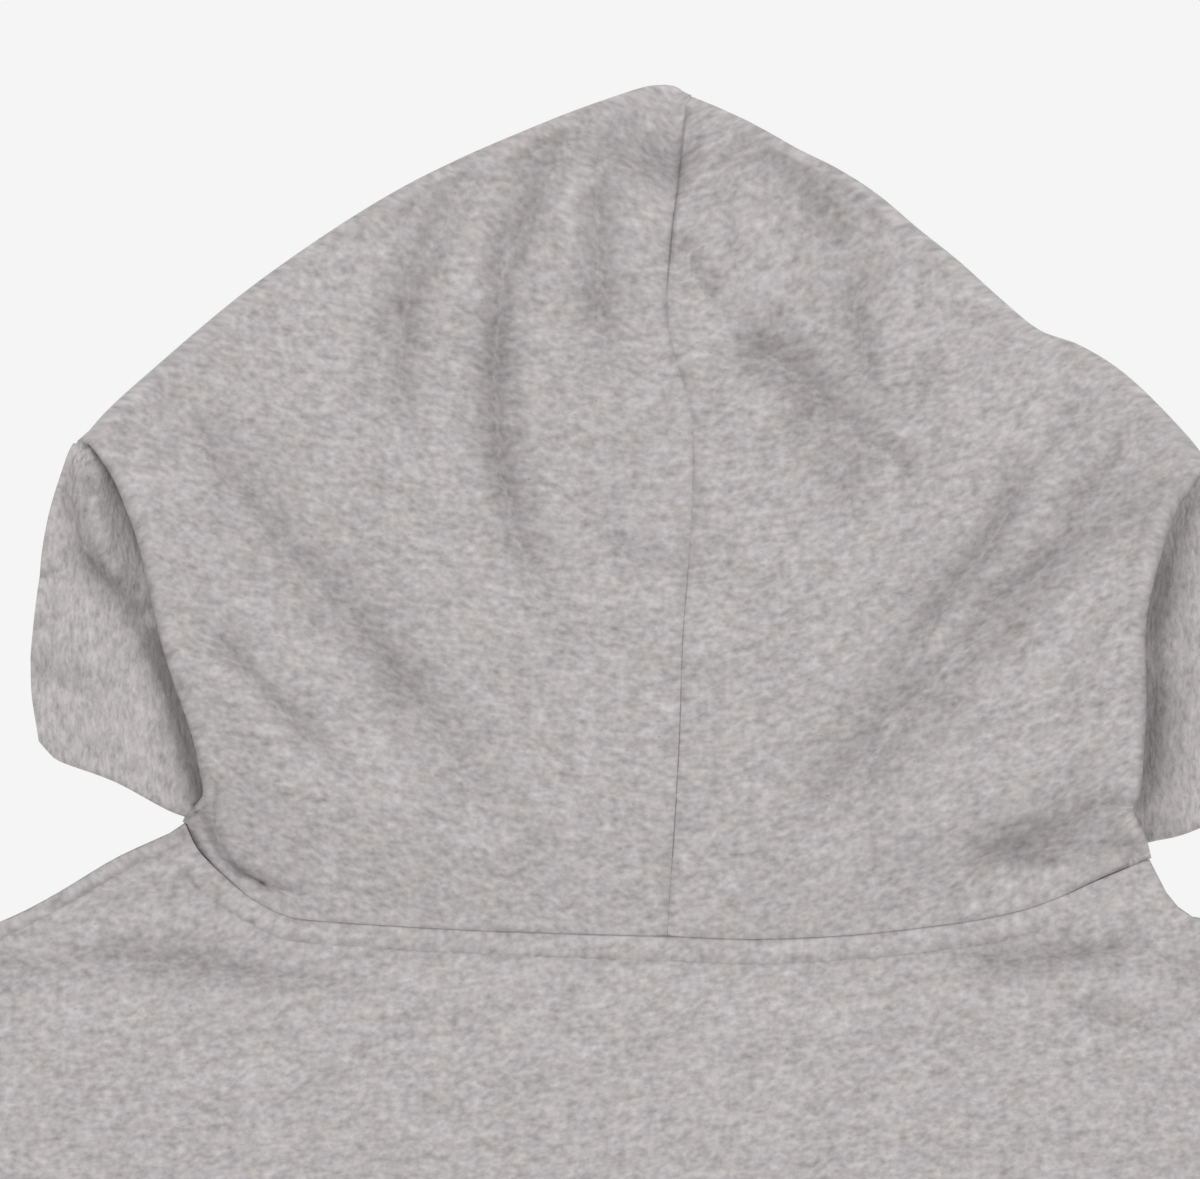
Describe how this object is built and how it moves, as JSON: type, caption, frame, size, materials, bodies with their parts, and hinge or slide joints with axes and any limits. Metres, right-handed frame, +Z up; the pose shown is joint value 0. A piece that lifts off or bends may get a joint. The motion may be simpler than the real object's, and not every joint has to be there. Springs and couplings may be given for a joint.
{
  "type": "zip-up hoodie",
  "caption": "Zip-up hooded sweatshirt laid flat on its front, its back and hood facing up, with rib cuffs, a rib hem band and a full-length front zip whose pull tab swings.",
  "frame": {"origin": "middle of the garment's box on the surface that it lies on", "axes": "+Z up, out of the garment's back; +Y from the hem towards the hood; +X towards the wearer's right sleeve"},
  "size_m": [1.4832, 0.885, 0.0113],
  "materials": {
    "fleece": "heather grey sweatshirt fleece, matt",
    "rib": "heather grey rib, matt",
    "tape": "woven zip tape, matt",
    "metal": "satin"
  },
  "bodies": {
    "garment": {"back_panel": "fleece", "front_left": "fleece", "front_right": "fleece", "sleeve_left": "fleece", "sleeve_right": "fleece", "cuff_left": "rib", "cuff_right": "rib", "hem_band": "rib", "hood_left": "fleece", "hood_right": "fleece", "zip_tape_left": "tape", "zip_tape_right": "tape", "zip_teeth_left": "metal", "zip_teeth_right": "metal", "zip_slider": "metal", "zip_box": "metal"},
    "pull": {"pull_tab": "metal"}
  },
  "joints": [
    {"name": "pull_tab_swing", "type": "hinge", "parent": "garment", "child": "pull", "pos_m": [0, 0.1625, 0.0019], "axis": [1, 0, 0], "range_deg": [-5, 165]}
  ]
}
